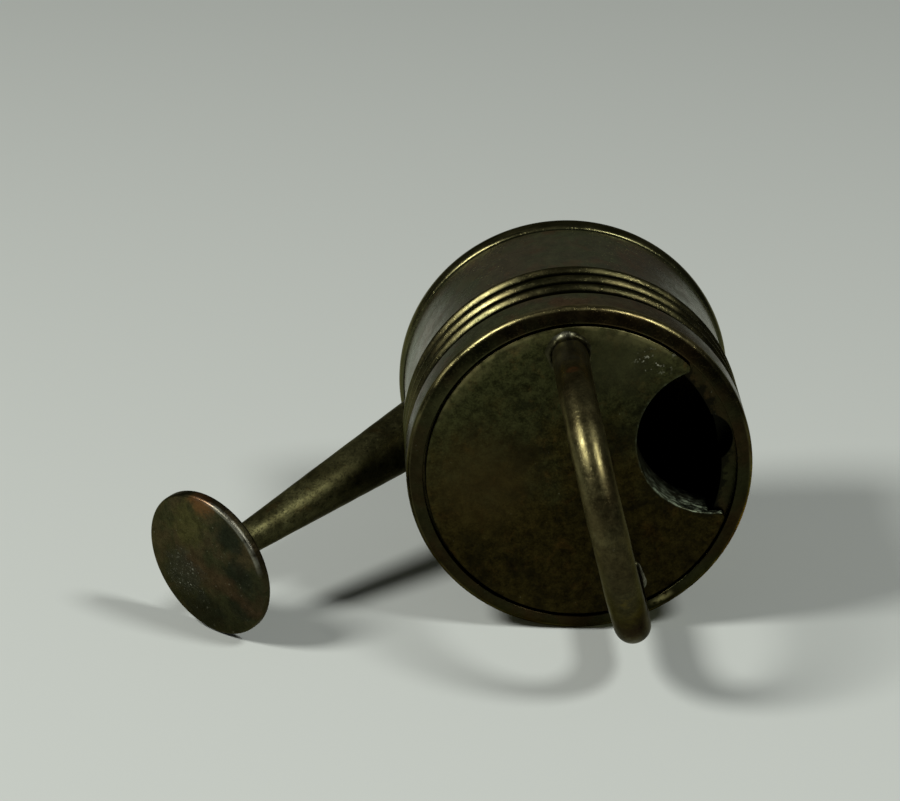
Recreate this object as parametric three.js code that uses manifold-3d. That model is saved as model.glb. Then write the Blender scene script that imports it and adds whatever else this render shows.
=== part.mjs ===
// Miniature brass watering can: a turned body with a foot bead, three ribs and a rim, closed by a base
// disc and by a thick top plate, stepped like a stopper, with a round filler mouth. A bent rod is the
// handle. A tapered spout carries a plain domed disc as its rose. Every piece is soldered to the next.
//
// Frame: millimetres. +Z runs up the body's axis from the face that it stands on, +X points to the
// spout, and the origin is the centre of that face.

import * as THREE from 'three';
import { mergeVertices } from 'three/addons/utils/BufferGeometryUtils.js';
import Module from 'manifold-3d';

// ---------------------------------------------------------------- driving dimensions
const GAP = 0.3; // clearance between neighbouring pieces, filled by solder on the real object
const ROUND_SEGMENTS = 64;
const SMALL_SEGMENTS = 32;

// Body: one thick-walled turned tube.
const BODY_RADIUS = 15; // over the foot bead, the ribs and the rim
const BODY_HEIGHT = 24.2;
const WALL_RADIUS = 14.55; // plain wall between the bead and the ribs
const BORE_RADIUS = 12.3;
const SEAT_RADIUS = 13.6; // rebate at each end, which the base and the plate's flange drop into
const BEAD_HEIGHT = 2.1;
const RIB_COUNT = 3;
const RIB_WIDTH = 1.5;
const RIB_PITCH = 2.3;
const FIRST_RIB_Z = 13.35;
const BAND_BOTTOM_Z = 20.1; // plain band between the last rib and the rim
const BAND_EDGE_RADIUS = 0.25;
const RIM_ROUND = 0.6;
const RIM_DROP = 1; // the centre of the rim's rounded corner is this far below its top
const RIM_SLOPE = THREE.MathUtils.degToRad(26.8); // the rim's face falls away towards its corner
const RIM_CHAMFER = 0.15;

// The base disc, and the top plate: a thin flange in the rebate with a plug below it in the bore.
const DISC_RADIUS = SEAT_RADIUS - GAP;
const DISC_CHAMFER = 0.2;
const BASE_THICKNESS = 1.4;
const PLATE_THICKNESS = 4;
const FLANGE_THICKNESS = 0.5;
const PLUG_RADIUS = BORE_RADIUS - GAP;
const PLATE_RECESS = 0.1; // the plate's face sits this far below the rim

// Filler mouth: a round bite out of the plate's edge, opposite the spout.
const MOUTH_CENTRE_X = -11.85;
const MOUTH_RADIUS = 6.7;
const MOUTH_TAPER = 0.15; // the cut narrows by this much through the plate
const PILOT_CENTRE_X = -11.25;
const PILOT_RADIUS = 2.25; // the pilot drill of the mouth's cutter also notched the flange's ledge
const PILOT_DEPTH = 3;

// Handle: round rod bent to a hoop across the plate.
const ROD_RADIUS = 1.6;
const HANDLE_X = -1.5;
const HANDLE_HALF_SPAN = 10.8;
const HANDLE_LEG = 7.3; // straight part of each leg above the plate
const HANDLE_DEPTH = 2.3; // part of each leg in the plate
const HANDLE_STEPS = 48;

// Spout: a solid taper on an axis that meets the body's axis below the base.
const SPOUT_TILT = THREE.MathUtils.degToRad(45.5); // above the horizontal
const SPOUT_EXIT_Z = 6.4; // height of the spout's axis at the wall
const SPOUT_LENGTH = 25.6; // from the wall to the back of the rose
const SPOUT_ROOT_RADIUS = 2.8;
const SPOUT_TIP_RADIUS = 1.15;
const TENON_RADIUS = 1.2; // pin through the body's wall
const SPIGOT_RADIUS = 0.6; // pin into the rose
const SPIGOT_LENGTH = 0.5;

// Rose: a plain domed disc, square to the spout.
const ROSE_RADIUS = 6.8;
const ROSE_THICKNESS = 1.1;
const ROSE_DOME = 0.45;
const ROSE_EDGE = 0.25;
const SOCKET_DEPTH = 0.8;

// Solder fillets.
const FILLET_WIDTH = 0.65;
const FILLET_HEIGHT = 0.8;

// ---------------------------------------------------------------- values that follow from them
const PLATE_TOP_Z = BODY_HEIGHT - PLATE_RECESS;
const PLATE_BOTTOM_Z = PLATE_TOP_Z - PLATE_THICKNESS;
const FLANGE_BOTTOM_Z = PLATE_TOP_Z - FLANGE_THICKNESS;
const TOP_SEAT_Z = FLANGE_BOTTOM_Z - GAP;
const HANDLE_BOTTOM_Z = PLATE_TOP_Z - HANDLE_DEPTH;
const BASE_SEAT_Z = BASE_THICKNESS + GAP;
const PROUD = BODY_RADIUS - WALL_RADIUS; // how far the bead and the ribs stand out
const SPOUT_START_Z = SPOUT_EXIT_Z - WALL_RADIUS * Math.tan(SPOUT_TILT);
const SPOUT_WALL_S = WALL_RADIUS / Math.cos(SPOUT_TILT); // along the spout's axis, from the body's axis
const ROSE_BACK_S = SPOUT_WALL_S + SPOUT_LENGTH;
const SPOUT_TIP_S = ROSE_BACK_S - GAP;
const SPOUT_INNER_S = 14; // well inside the bore, where the construction shapes start
const FAR_BELOW = -5;
const FAR_ABOVE = BODY_HEIGHT + 5;

// ---------------------------------------------------------------- solids
const wasm = await Module();
wasm.setup();

/** Turns a closed outline of [radius, height] points about the Z axis. */
function turned(outline, segments = ROUND_SEGMENTS) {
  const points = outline.map(([radius, height]) => new THREE.Vector2(radius, height));
  return new THREE.LatheGeometry(points, segments).rotateX(Math.PI / 2);
}

/** A cone frustum on the Z axis, or a cylinder when both radii are the same. */
function frustum(bottomRadius, topRadius, bottomZ, topZ, segments = ROUND_SEGMENTS) {
  const outline = [[0, bottomZ], [bottomRadius, bottomZ], [topRadius, topZ], [0, topZ]];
  return turned(outline, segments);
}

function toManifold(geometry) {
  const bare = geometry.clone();
  bare.deleteAttribute('normal');
  bare.deleteAttribute('uv');
  const merged = mergeVertices(bare, 1e-5);
  return new wasm.Manifold(new wasm.Mesh({
    numProp: 3,
    vertProperties: Float32Array.from(merged.attributes.position.array),
    triVerts: Uint32Array.from(merged.index.array),
  }));
}

function toGeometry(solid) {
  const mesh = solid.getMesh();
  const geometry = new THREE.BufferGeometry();
  geometry.setAttribute('position', new THREE.BufferAttribute(mesh.vertProperties, 3));
  geometry.setIndex(new THREE.BufferAttribute(mesh.triVerts, 1));
  geometry.computeVertexNormals();
  return geometry;
}

/** Moves a shape built on the Z axis onto the spout's axis. */
function onSpoutAxis(geometry) {
  return geometry.rotateY(Math.PI / 2 - SPOUT_TILT).translate(0, 0, SPOUT_START_Z);
}

/** The spout's radius at a distance along its axis, with an offset for clearances and fillets. */
function spoutRadius(s, offset = 0) {
  const taper = (SPOUT_TIP_RADIUS - SPOUT_ROOT_RADIUS) / SPOUT_LENGTH;
  return SPOUT_ROOT_RADIUS + taper * (s - SPOUT_WALL_S) + offset;
}

function spoutCone(fromS, toS, offset = 0) {
  return onSpoutAxis(frustum(spoutRadius(fromS, offset), spoutRadius(toS, offset), fromS, toS));
}

// ---------------------------------------------------------------- outlines
/** Half an ellipse standing out from the wall, as [radius, z] points going up. */
function halfRound(centreZ, halfHeight, steps) {
  const points = [];
  for (let i = 0; i <= steps; i += 1) {
    const angle = (i / steps - 0.5) * Math.PI;
    points.push([WALL_RADIUS + PROUD * Math.cos(angle), centreZ + halfHeight * Math.sin(angle)]);
  }
  return points;
}

/** Part of a circle, as [radius, z] points. */
function roundCorner(centreR, centreZ, radius, startAngle, endAngle, steps) {
  const points = [];
  for (let i = 0; i <= steps; i += 1) {
    const angle = startAngle + (i / steps) * (endAngle - startAngle);
    points.push([centreR + radius * Math.cos(angle), centreZ + radius * Math.sin(angle)]);
  }
  return points;
}

/** A smooth wave standing out from the wall, as [radius, z] points going up. */
function ribWave(centreZ, steps) {
  const points = [];
  for (let i = 0; i <= steps; i += 1) {
    const share = i / steps - 0.5;
    points.push([WALL_RADIUS + PROUD * Math.cos(Math.PI * share) ** 2, centreZ + RIB_WIDTH * share]);
  }
  return points;
}

function bodyOutline() {
  const outline = [[SEAT_RADIUS, 0]];
  outline.push(...halfRound(BEAD_HEIGHT / 2, BEAD_HEIGHT / 2, 6));
  for (let i = 0; i < RIB_COUNT; i += 1) {
    outline.push(...ribWave(FIRST_RIB_Z + i * RIB_PITCH, 6));
  }
  const bandEdgeZ = BAND_BOTTOM_Z + BAND_EDGE_RADIUS;
  outline.push([WALL_RADIUS, BAND_BOTTOM_Z]);
  outline.push(...roundCorner(
    BODY_RADIUS - BAND_EDGE_RADIUS, bandEdgeZ, BAND_EDGE_RADIUS, -Math.PI / 2, 0, 2));
  outline.push(...roundCorner(
    BODY_RADIUS - RIM_ROUND, BODY_HEIGHT - RIM_DROP, RIM_ROUND, 0, Math.PI / 2 - RIM_SLOPE, 4));
  outline.push([SEAT_RADIUS + RIM_CHAMFER, BODY_HEIGHT], [SEAT_RADIUS, BODY_HEIGHT - RIM_CHAMFER]);
  outline.push([SEAT_RADIUS, TOP_SEAT_Z], [BORE_RADIUS, TOP_SEAT_Z]);
  outline.push([BORE_RADIUS, BASE_SEAT_Z], [SEAT_RADIUS, BASE_SEAT_Z], [SEAT_RADIUS, 0]);
  return outline;
}

// ---------------------------------------------------------------- sub-parts
function bodyShell() {
  const tenonHole = onSpoutAxis(frustum(
    TENON_RADIUS + GAP, TENON_RADIUS + GAP, SPOUT_INNER_S, SPOUT_WALL_S + 2, SMALL_SEGMENTS));
  const pilot = frustum(PILOT_RADIUS, PILOT_RADIUS, TOP_SEAT_Z - PILOT_DEPTH, FAR_ABOVE, SMALL_SEGMENTS);
  pilot.translate(PILOT_CENTRE_X, 0, 0);
  const solid = toManifold(turned(bodyOutline()))
    .subtract(toManifold(tenonHole))
    .subtract(toManifold(pilot));
  return toGeometry(withoutHandleHoles(solid));
}

/** Cuts the handle's two blind holes, which run down through the plate and nick the bore beside it. */
function withoutHandleHoles(solid) {
  let cut = solid;
  for (const side of [-1, 1]) {
    const hole = frustum(
      ROD_RADIUS + GAP, ROD_RADIUS + GAP, HANDLE_BOTTOM_Z - GAP, FAR_ABOVE, SMALL_SEGMENTS);
    hole.translate(HANDLE_X, side * HANDLE_HALF_SPAN, 0);
    cut = cut.subtract(toManifold(hole));
  }
  return cut;
}

function basePlate() {
  return turned([
    [0, 0], [DISC_RADIUS - DISC_CHAMFER, 0], [DISC_RADIUS, DISC_CHAMFER],
    [DISC_RADIUS, BASE_THICKNESS], [0, BASE_THICKNESS],
  ]);
}

function topPlate() {
  const disc = turned([
    [0, PLATE_BOTTOM_Z], [PLUG_RADIUS, PLATE_BOTTOM_Z], [PLUG_RADIUS, FLANGE_BOTTOM_Z],
    [DISC_RADIUS, FLANGE_BOTTOM_Z], [DISC_RADIUS, PLATE_TOP_Z - DISC_CHAMFER],
    [DISC_RADIUS - DISC_CHAMFER, PLATE_TOP_Z], [0, PLATE_TOP_Z],
  ]);
  const slope = MOUTH_TAPER / PLATE_THICKNESS;
  const mouth = frustum(
    MOUTH_RADIUS - MOUTH_TAPER - slope, MOUTH_RADIUS + slope, PLATE_BOTTOM_Z - 1, PLATE_TOP_Z + 1);
  mouth.translate(MOUTH_CENTRE_X, 0, 0);
  return toGeometry(withoutHandleHoles(toManifold(disc).subtract(toManifold(mouth))));
}

/** The rod's centre line: up one leg, round a half circle and down the other leg. */
class HoopCurve extends THREE.Curve {
  getPoint(t) {
    const legLength = HANDLE_LEG + HANDLE_DEPTH;
    const bendLength = Math.PI * HANDLE_HALF_SPAN;
    const along = t * (2 * legLength + bendLength);
    const bendZ = HANDLE_BOTTOM_Z + legLength;
    if (along < legLength) {
      return new THREE.Vector3(HANDLE_X, -HANDLE_HALF_SPAN, HANDLE_BOTTOM_Z + along);
    }
    if (along > legLength + bendLength) {
      return new THREE.Vector3(HANDLE_X, HANDLE_HALF_SPAN, bendZ - (along - legLength - bendLength));
    }
    const angle = (along - legLength) / HANDLE_HALF_SPAN;
    return new THREE.Vector3(
      HANDLE_X, -HANDLE_HALF_SPAN * Math.cos(angle), bendZ + HANDLE_HALF_SPAN * Math.sin(angle));
  }
}

function handle() {
  const section = new THREE.Shape();
  section.absarc(0, 0, ROD_RADIUS, 0, 2 * Math.PI, false);
  return new THREE.ExtrudeGeometry(section, {
    extrudePath: new HoopCurve(),
    steps: HANDLE_STEPS,
    curveSegments: 10, // for each half of the round section
    bevelEnabled: false,
  });
}

/** A ring of solder with a hollow cheek: innerRadius at the joint, on a face at faceZ, rising along Z. */
function filletRing(innerRadius, faceZ) {
  const cheek = [];
  const steps = 4;
  for (let i = 1; i < steps; i += 1) {
    const angle = (i / steps) * (Math.PI / 2);
    cheek.push([
      innerRadius + FILLET_WIDTH * (1 - Math.sin(angle)), faceZ + FILLET_HEIGHT * (1 - Math.cos(angle))]);
  }
  const foot = [innerRadius + FILLET_WIDTH, faceZ];
  const top = [innerRadius, faceZ + FILLET_HEIGHT];
  return turned([[innerRadius, faceZ], foot, ...cheek, top, [innerRadius, faceZ]], SMALL_SEGMENTS);
}

function handleSolder(side) {
  return filletRing(ROD_RADIUS + GAP, PLATE_TOP_Z + GAP).translate(HANDLE_X, side * HANDLE_HALF_SPAN, 0);
}

function spout() {
  const saddle = frustum(WALL_RADIUS + GAP, WALL_RADIUS + GAP, FAR_BELOW - 10, FAR_ABOVE);
  const bore = frustum(BORE_RADIUS, BORE_RADIUS, FAR_BELOW - 10, FAR_ABOVE);
  const tenon = onSpoutAxis(frustum(
    TENON_RADIUS, TENON_RADIUS, SPOUT_INNER_S, SPOUT_WALL_S + 4, SMALL_SEGMENTS));
  const spigot = onSpoutAxis(frustum(
    SPIGOT_RADIUS, SPIGOT_RADIUS, SPOUT_TIP_S - 2, ROSE_BACK_S + SPIGOT_LENGTH, SMALL_SEGMENTS));
  const solid = toManifold(spoutCone(SPOUT_INNER_S, SPOUT_TIP_S))
    .subtract(toManifold(saddle))
    .add(toManifold(tenon).subtract(toManifold(bore)))
    .add(toManifold(spigot));
  return toGeometry(solid);
}

/** The fillet round the spout's root: a slice of a wider cone, just outside the wall and above the bead. */
function spoutSolder() {
  const outer = frustum(BODY_RADIUS + FILLET_WIDTH, BODY_RADIUS + FILLET_WIDTH, BEAD_HEIGHT + GAP, FAR_ABOVE);
  const wall = frustum(WALL_RADIUS + GAP, WALL_RADIUS + GAP, FAR_BELOW, FAR_ABOVE + 1);
  const solid = toManifold(spoutCone(SPOUT_INNER_S, SPOUT_TIP_S, GAP + FILLET_WIDTH))
    .subtract(toManifold(spoutCone(SPOUT_INNER_S - 1, SPOUT_TIP_S + 1, GAP)))
    .intersect(toManifold(outer))
    .subtract(toManifold(wall));
  return toGeometry(solid);
}

function rose() {
  const faceS = ROSE_BACK_S + ROSE_THICKNESS;
  const socketRadius = SPIGOT_RADIUS + GAP;
  const dome = [];
  const steps = 5;
  for (let i = 0; i < steps; i += 1) {
    const radius = (ROSE_RADIUS - ROSE_EDGE) * (1 - i / steps);
    dome.push([radius, faceS + ROSE_DOME * (1 - (radius / ROSE_RADIUS) ** 2)]);
  }
  return onSpoutAxis(turned([
    [0, ROSE_BACK_S + SOCKET_DEPTH], [socketRadius, ROSE_BACK_S + SOCKET_DEPTH],
    [socketRadius, ROSE_BACK_S], [ROSE_RADIUS - ROSE_EDGE, ROSE_BACK_S],
    [ROSE_RADIUS, ROSE_BACK_S + ROSE_EDGE], [ROSE_RADIUS, faceS - ROSE_EDGE],
    ...dome, [0, faceS + ROSE_DOME],
  ]));
}

function roseSolder() {
  const ring = filletRing(spoutRadius(SPOUT_TIP_S - FILLET_HEIGHT, GAP), 0);
  return onSpoutAxis(ring.rotateX(Math.PI).translate(0, 0, SPOUT_TIP_S));
}

// ---------------------------------------------------------------- materials and assembly
function brass(color, roughness) {
  return new THREE.MeshStandardMaterial({ color, roughness, metalness: 1 });
}

const part = new THREE.Group();

function addPart(name, geometry, material) {
  const mesh = new THREE.Mesh(geometry, material);
  mesh.name = name;
  part.add(mesh);
}

addPart('body_shell', bodyShell(), brass(0x5a4f38, 0.38));
addPart('base_plate', basePlate(), brass(0x6b5d3c, 0.5));
addPart('top_plate', topPlate(), brass(0x5f5436, 0.5));
addPart('handle', handle(), brass(0x6a6040, 0.32));
addPart('handle_solder_right', handleSolder(-1), brass(0x8f8a72, 0.55));
addPart('handle_solder_left', handleSolder(1), brass(0x8f8a72, 0.55));
addPart('spout', spout(), brass(0x665d3d, 0.36));
addPart('spout_solder', spoutSolder(), brass(0x8f8a72, 0.55));
addPart('rose', rose(), brass(0x5d5038, 0.45));
addPart('rose_solder', roseSolder(), brass(0x8f8a72, 0.55));

export default part;
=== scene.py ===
import math

import bpy
from mathutils import Matrix, Vector, noise


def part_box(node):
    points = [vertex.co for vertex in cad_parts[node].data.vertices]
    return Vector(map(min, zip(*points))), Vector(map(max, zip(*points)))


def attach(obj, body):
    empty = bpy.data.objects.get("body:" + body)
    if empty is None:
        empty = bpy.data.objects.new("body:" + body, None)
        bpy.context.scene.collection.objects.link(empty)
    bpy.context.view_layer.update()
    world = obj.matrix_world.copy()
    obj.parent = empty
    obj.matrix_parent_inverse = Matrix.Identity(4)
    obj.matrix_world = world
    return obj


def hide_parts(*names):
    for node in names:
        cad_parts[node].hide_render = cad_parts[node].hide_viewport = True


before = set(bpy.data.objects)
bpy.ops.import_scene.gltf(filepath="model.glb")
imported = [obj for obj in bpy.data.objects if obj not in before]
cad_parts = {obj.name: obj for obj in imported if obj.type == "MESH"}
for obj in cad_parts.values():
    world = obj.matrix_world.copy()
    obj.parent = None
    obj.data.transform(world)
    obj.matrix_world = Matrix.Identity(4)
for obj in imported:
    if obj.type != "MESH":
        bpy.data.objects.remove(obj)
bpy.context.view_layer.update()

MM = 0.001


def box_mm(node):
    low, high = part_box(node)
    return low / MM, high / MM


# ---------------- sizes read from the frame
_, BODY_HIGH = box_mm("body_shell")
BODY_RADIUS = BODY_HIGH.y
BODY_HEIGHT = BODY_HIGH.z
BASE_LOW, BASE_HIGH = box_mm("base_plate")
PLATE_LOW, PLATE_HIGH = box_mm("top_plate")
DISC_RADIUS = PLATE_HIGH.y
HANDLE_LOW, HANDLE_HIGH = box_mm("handle")
HANDLE_X = (HANDLE_LOW.x + HANDLE_HIGH.x) / 2
ROD_RADIUS = (HANDLE_HIGH.x - HANDLE_LOW.x) / 2
HANDLE_HALF_SPAN = HANDLE_HIGH.y - ROD_RADIUS
ROSE_LOW, ROSE_HIGH = box_mm("rose")
ROSE_CENTRE = (ROSE_LOW + ROSE_HIGH) / 2
ROSE_RADIUS = ROSE_HIGH.y - 0.06  # so that its rounder edge stays inside the CAD box

# ---------------- sizes of the details
WALL_RADIUS = 14.55
BORE_RADIUS = 12.3
SEAT_RADIUS = 13.6
SEAT_CLEARANCE = 0.3
BEAD_HEIGHT = 2.1
RIB_COUNT = 3
RIB_WIDTH = 1.5
RIB_PITCH = 2.3
FIRST_RIB_Z = 13.35
BAND_BOTTOM_Z = 20.1
BAND_EDGE_RADIUS = 0.25
RIM_ROUND = 0.6
RIM_DROP = 1.0  # the centre of the rim's rounded corner is this far below its top
RIM_SLOPE = 26.8  # degrees; the rim's face falls away towards its corner
RIM_INNER_ROUND = 0.06
MOUTH_CENTRE_X = -11.85
MOUTH_RADIUS = 6.7
MOUTH_TAPER = 0.15
TONGUE_ROUND = 0.5
PILOT_CENTRE_X = -11.25
PILOT_RADIUS = 2.25
PILOT_DEPTH = 3
BASE_EDGE_ROUND = 0.2
FLANGE_THICKNESS = 0.5
PLUG_CLEARANCE = 0.1
PLATE_EDGE_ROUND = 0.16
PLATE_GROWTH = 0.1  # solder and dirt narrow the gap round the plate
PLATE_SHIFT = Vector((-0.025, 0.06))  # the plate sits a little off centre in its seat
DENT_DEPTH = 0.03  # the handle's rod is this much uneven
RIGHT_COLLAR_WIDTH = 0.55
LEFT_COLLAR_WIDTH = 0.35
COLLAR_SHARE = 0.62  # how much of the CAD collar's height the solder takes up on average
SPOUT_TILT = math.radians(45.5)
SPOUT_ROOT_RADIUS = 2.8
SPOUT_TIP_RADIUS = 1.15
SPOUT_PIN = 1.2  # how far the spout goes on into the wall
SPOUT_END_INSET = 0.5  # the spout's hidden end stays this far out of the bore
ROSE_THICKNESS = 1.1
ROSE_DOME = 0.45
ROSE_EDGE_ROUND = 0.3
SOLDER_OVERLAP = 0.02  # solder reaches this far into the brass under it
FILLET_SIZE = 0.5
FILLET_SUNK = 0.03
HIDDEN_CORNER_DEPTH = 0.15  # a solder ring closes this far inside the brass

# ---------------- places of marks
RIM_SCRAPE_ANGLE = math.radians(108)  # a scrape on the rim, measured from +X towards +Y
RESIDUE_PLACE = (-8.5, -8.6, 0)  # pale dirt on the plate near the mouth
SPOUT_SIDE_STAIN = (8.5, -1.5, 0)  # on the plate
MOUTH_SIDE_STAIN = (-5.5, -9.5, 0)  # on the plate
COPPER_SPOT = (-1.6, -12.4, 31.8)  # on the handle, near its foot on -Y

# ---------------- mesh fineness
TURN_SEGMENTS = 256
PILOT_SEGMENTS = 48
SMOOTH_ANGLE = 35  # degrees; sharper edges than this stay sharp
SOLDER_SMOOTH_ANGLE = 60

# ---------------- sizes that follow from the others; S is a distance along the spout's axis
TOP_SEAT_Z = PLATE_HIGH.z - FLANGE_THICKNESS - SEAT_CLEARANCE
SPOUT_START_Z = ROSE_CENTRE.z - ROSE_CENTRE.x * math.tan(SPOUT_TILT)
ROSE_MIDDLE_S = ROSE_CENTRE.x / math.cos(SPOUT_TILT)
ROSE_BACK_S = ROSE_MIDDLE_S - ROSE_THICKNESS / 2
ROSE_FACE_S = ROSE_MIDDLE_S + ROSE_THICKNESS / 2
SPOUT_WALL_S = WALL_RADIUS / math.cos(SPOUT_TILT)
SPOUT_DIRECTION = Vector((math.cos(SPOUT_TILT), 0, math.sin(SPOUT_TILT)))
ROSE_UP = Vector((-math.sin(SPOUT_TILT), 0, math.cos(SPOUT_TILT)))
ROSE_COPPER_PLACE = ROSE_CENTRE + Vector((0, -6.5, 0)) + ROSE_UP * 1.6 + SPOUT_DIRECTION * 0.6
SPOUT_TURN = Matrix.Rotation(math.pi / 2 - SPOUT_TILT, 4, "Y")
SPOUT_AXIS = Matrix.Translation((0, 0, SPOUT_START_Z)) @ SPOUT_TURN  # takes +Z to the spout's axis


# ---------------- mesh helpers
def add_piece(name, node, points, faces, material, smooth_angle=SMOOTH_ANGLE):
    """Makes a piece from points in millimetres. It stands for a CAD node and rides on the body."""
    mesh = bpy.data.meshes.new(name)
    mesh.from_pydata([Vector(p) * MM for p in points], [], faces)
    mesh.validate()
    mesh.shade_smooth()
    mesh.set_sharp_from_angle(angle=math.radians(smooth_angle))
    mesh.materials.append(material)
    piece = bpy.data.objects.new(name, mesh)
    bpy.context.scene.collection.objects.link(piece)
    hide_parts(node)
    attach(piece, "root")
    return piece


def arc(centre_x, centre_y, radius, start, end, steps):
    """Points on an arc, angles in degrees, both ends included."""
    points = []
    for i in range(steps + 1):
        angle = math.radians(start + (end - start) * i / steps)
        points.append((centre_x + radius * math.cos(angle), centre_y + radius * math.sin(angle)))
    return points


def ring_faces(rings, segments, close_rings=False):
    """Quads between neighbouring rings of points, each ring closed round."""
    faces = []
    for i in range(rings if close_rings else rings - 1):
        here = i * segments
        there = ((i + 1) % rings) * segments
        for j in range(segments):
            k = (j + 1) % segments
            faces.append((here + j, here + k, there + k, there + j))
    return faces


def rod_faces(rings, segments):
    """The skin of a rod made of rings of points, with a flat cap at each end."""
    faces = ring_faces(rings, segments)
    faces.append(tuple(reversed(range(segments))))
    faces.append(tuple(range((rings - 1) * segments, rings * segments)))
    return faces


def turned(outline, segments=TURN_SEGMENTS):
    """Turns a closed outline of (radius, z) points about the Z axis."""
    points = []
    for radius, z in outline:
        for j in range(segments):
            angle = 2 * math.pi * j / segments
            points.append(Vector((radius * math.cos(angle), radius * math.sin(angle), z)))
    return points, ring_faces(len(outline), segments, close_rings=True)


def turned_disc(outline, segments=TURN_SEGMENTS):
    """Turns an open outline whose two ends lie on the axis, and closes it with a fan at each end."""
    inner = outline[1:-1]
    points, _ = turned(inner, segments)
    faces = ring_faces(len(inner), segments)
    first = len(points)
    points += [Vector((0, 0, outline[0][1])), Vector((0, 0, outline[-1][1]))]
    last_ring = (len(inner) - 1) * segments
    for j in range(segments):
        k = (j + 1) % segments
        faces.append((first, k, j))
        faces.append((first + 1, last_ring + j, last_ring + k))
    return points, faces


def wobble(point, scale, amount):
    """A small, repeatable unevenness at a point."""
    return amount * noise.noise(Vector(point) * scale)


# ---------------- body
def half_round(centre_z, half_height, steps):
    """Half an ellipse that stands on the wall."""
    proud = BODY_RADIUS - WALL_RADIUS
    points = []
    for i in range(steps + 1):
        angle = (i / steps - 0.5) * math.pi
        points.append((WALL_RADIUS + proud * math.cos(angle), centre_z + half_height * math.sin(angle)))
    return points


def rib_wave(centre_z, steps):
    """One soft wave that rises from the wall and falls back to it."""
    proud = BODY_RADIUS - WALL_RADIUS
    points = []
    for i in range(steps + 1):
        share = i / steps - 0.5
        rise = proud * math.cos(math.pi * share) ** 2
        points.append((WALL_RADIUS + rise, centre_z + RIB_WIDTH * share))
    return points


def body_outline():
    """The tube's section from the foot up the outside, over the rim and down the bore."""
    outline = [(SEAT_RADIUS, 0)]
    outline += half_round(BEAD_HEIGHT / 2, BEAD_HEIGHT / 2, 20)
    for i in range(RIB_COUNT):
        outline += rib_wave(FIRST_RIB_Z + i * RIB_PITCH, 20)
    outline.append((WALL_RADIUS, BAND_BOTTOM_Z))
    outline += arc(
        BODY_RADIUS - BAND_EDGE_RADIUS, BAND_BOTTOM_Z + BAND_EDGE_RADIUS, BAND_EDGE_RADIUS, -90, 0, 6)
    outline += arc(
        BODY_RADIUS - RIM_ROUND, BODY_HEIGHT - RIM_DROP, RIM_ROUND, 0, 90 - RIM_SLOPE, 14)
    outline.append((SEAT_RADIUS + 2.5 * RIM_INNER_ROUND, BODY_HEIGHT))
    outline += arc(
        SEAT_RADIUS + RIM_INNER_ROUND, BODY_HEIGHT - RIM_INNER_ROUND, RIM_INNER_ROUND, 90, 180, 5)
    base_seat_z = BASE_HIGH.z + SEAT_CLEARANCE
    outline += [(SEAT_RADIUS, TOP_SEAT_Z), (BORE_RADIUS, TOP_SEAT_Z)]
    outline += [(BORE_RADIUS, base_seat_z), (SEAT_RADIUS, base_seat_z)]
    return outline


def pilot_cutter():
    """A short upright cylinder, as wide as the pilot drill."""
    bottom, top = TOP_SEAT_Z - PILOT_DEPTH, BODY_HEIGHT + 1
    points, faces = turned_disc(
        [(0, bottom), (PILOT_RADIUS, bottom), (PILOT_RADIUS, top), (0, top)], PILOT_SEGMENTS)
    shift = Vector((PILOT_CENTRE_X, 0, 0))
    mesh = bpy.data.meshes.new("pilot_cutter")
    mesh.from_pydata([(p + shift) * MM for p in points], [], faces)
    cutter = bpy.data.objects.new("pilot_cutter", mesh)
    bpy.context.scene.collection.objects.link(cutter)
    return cutter


def build_body(material):
    """The turned tube, with the pilot drill's notch cut into its ledge."""
    points, faces = turned(body_outline())
    body = add_piece("can_body", "body_shell", points, faces, material)
    cutter = pilot_cutter()
    cut = body.modifiers.new("pilot_notch", "BOOLEAN")
    cut.operation = "DIFFERENCE"
    cut.solver = "EXACT"
    cut.object = cutter
    bake_modifiers(body)
    bpy.data.objects.remove(cutter)
    body.data.set_sharp_from_angle(angle=math.radians(SMOOTH_ANGLE))


def bake_modifiers(piece):
    """Replaces a piece's mesh by what its modifiers make of it."""
    depsgraph = bpy.context.evaluated_depsgraph_get()
    made = bpy.data.meshes.new_from_object(piece.evaluated_get(depsgraph))
    piece.modifiers.clear()
    piece.data = made


# ---------------- discs
def build_base(material):
    """A plain disc let in flush, with its outer edge rounded."""
    rim = DISC_RADIUS
    outline = [(0, BASE_LOW.z), (rim / 2, BASE_LOW.z)]
    outline += arc(rim - BASE_EDGE_ROUND, BASE_LOW.z + BASE_EDGE_ROUND, BASE_EDGE_ROUND, -90, 0, 6)
    outline += [(rim, BASE_HIGH.z), (0, BASE_HIGH.z)]
    points, faces = turned_disc(outline)
    add_piece("foot_disc", "base_plate", points, faces, material)


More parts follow.
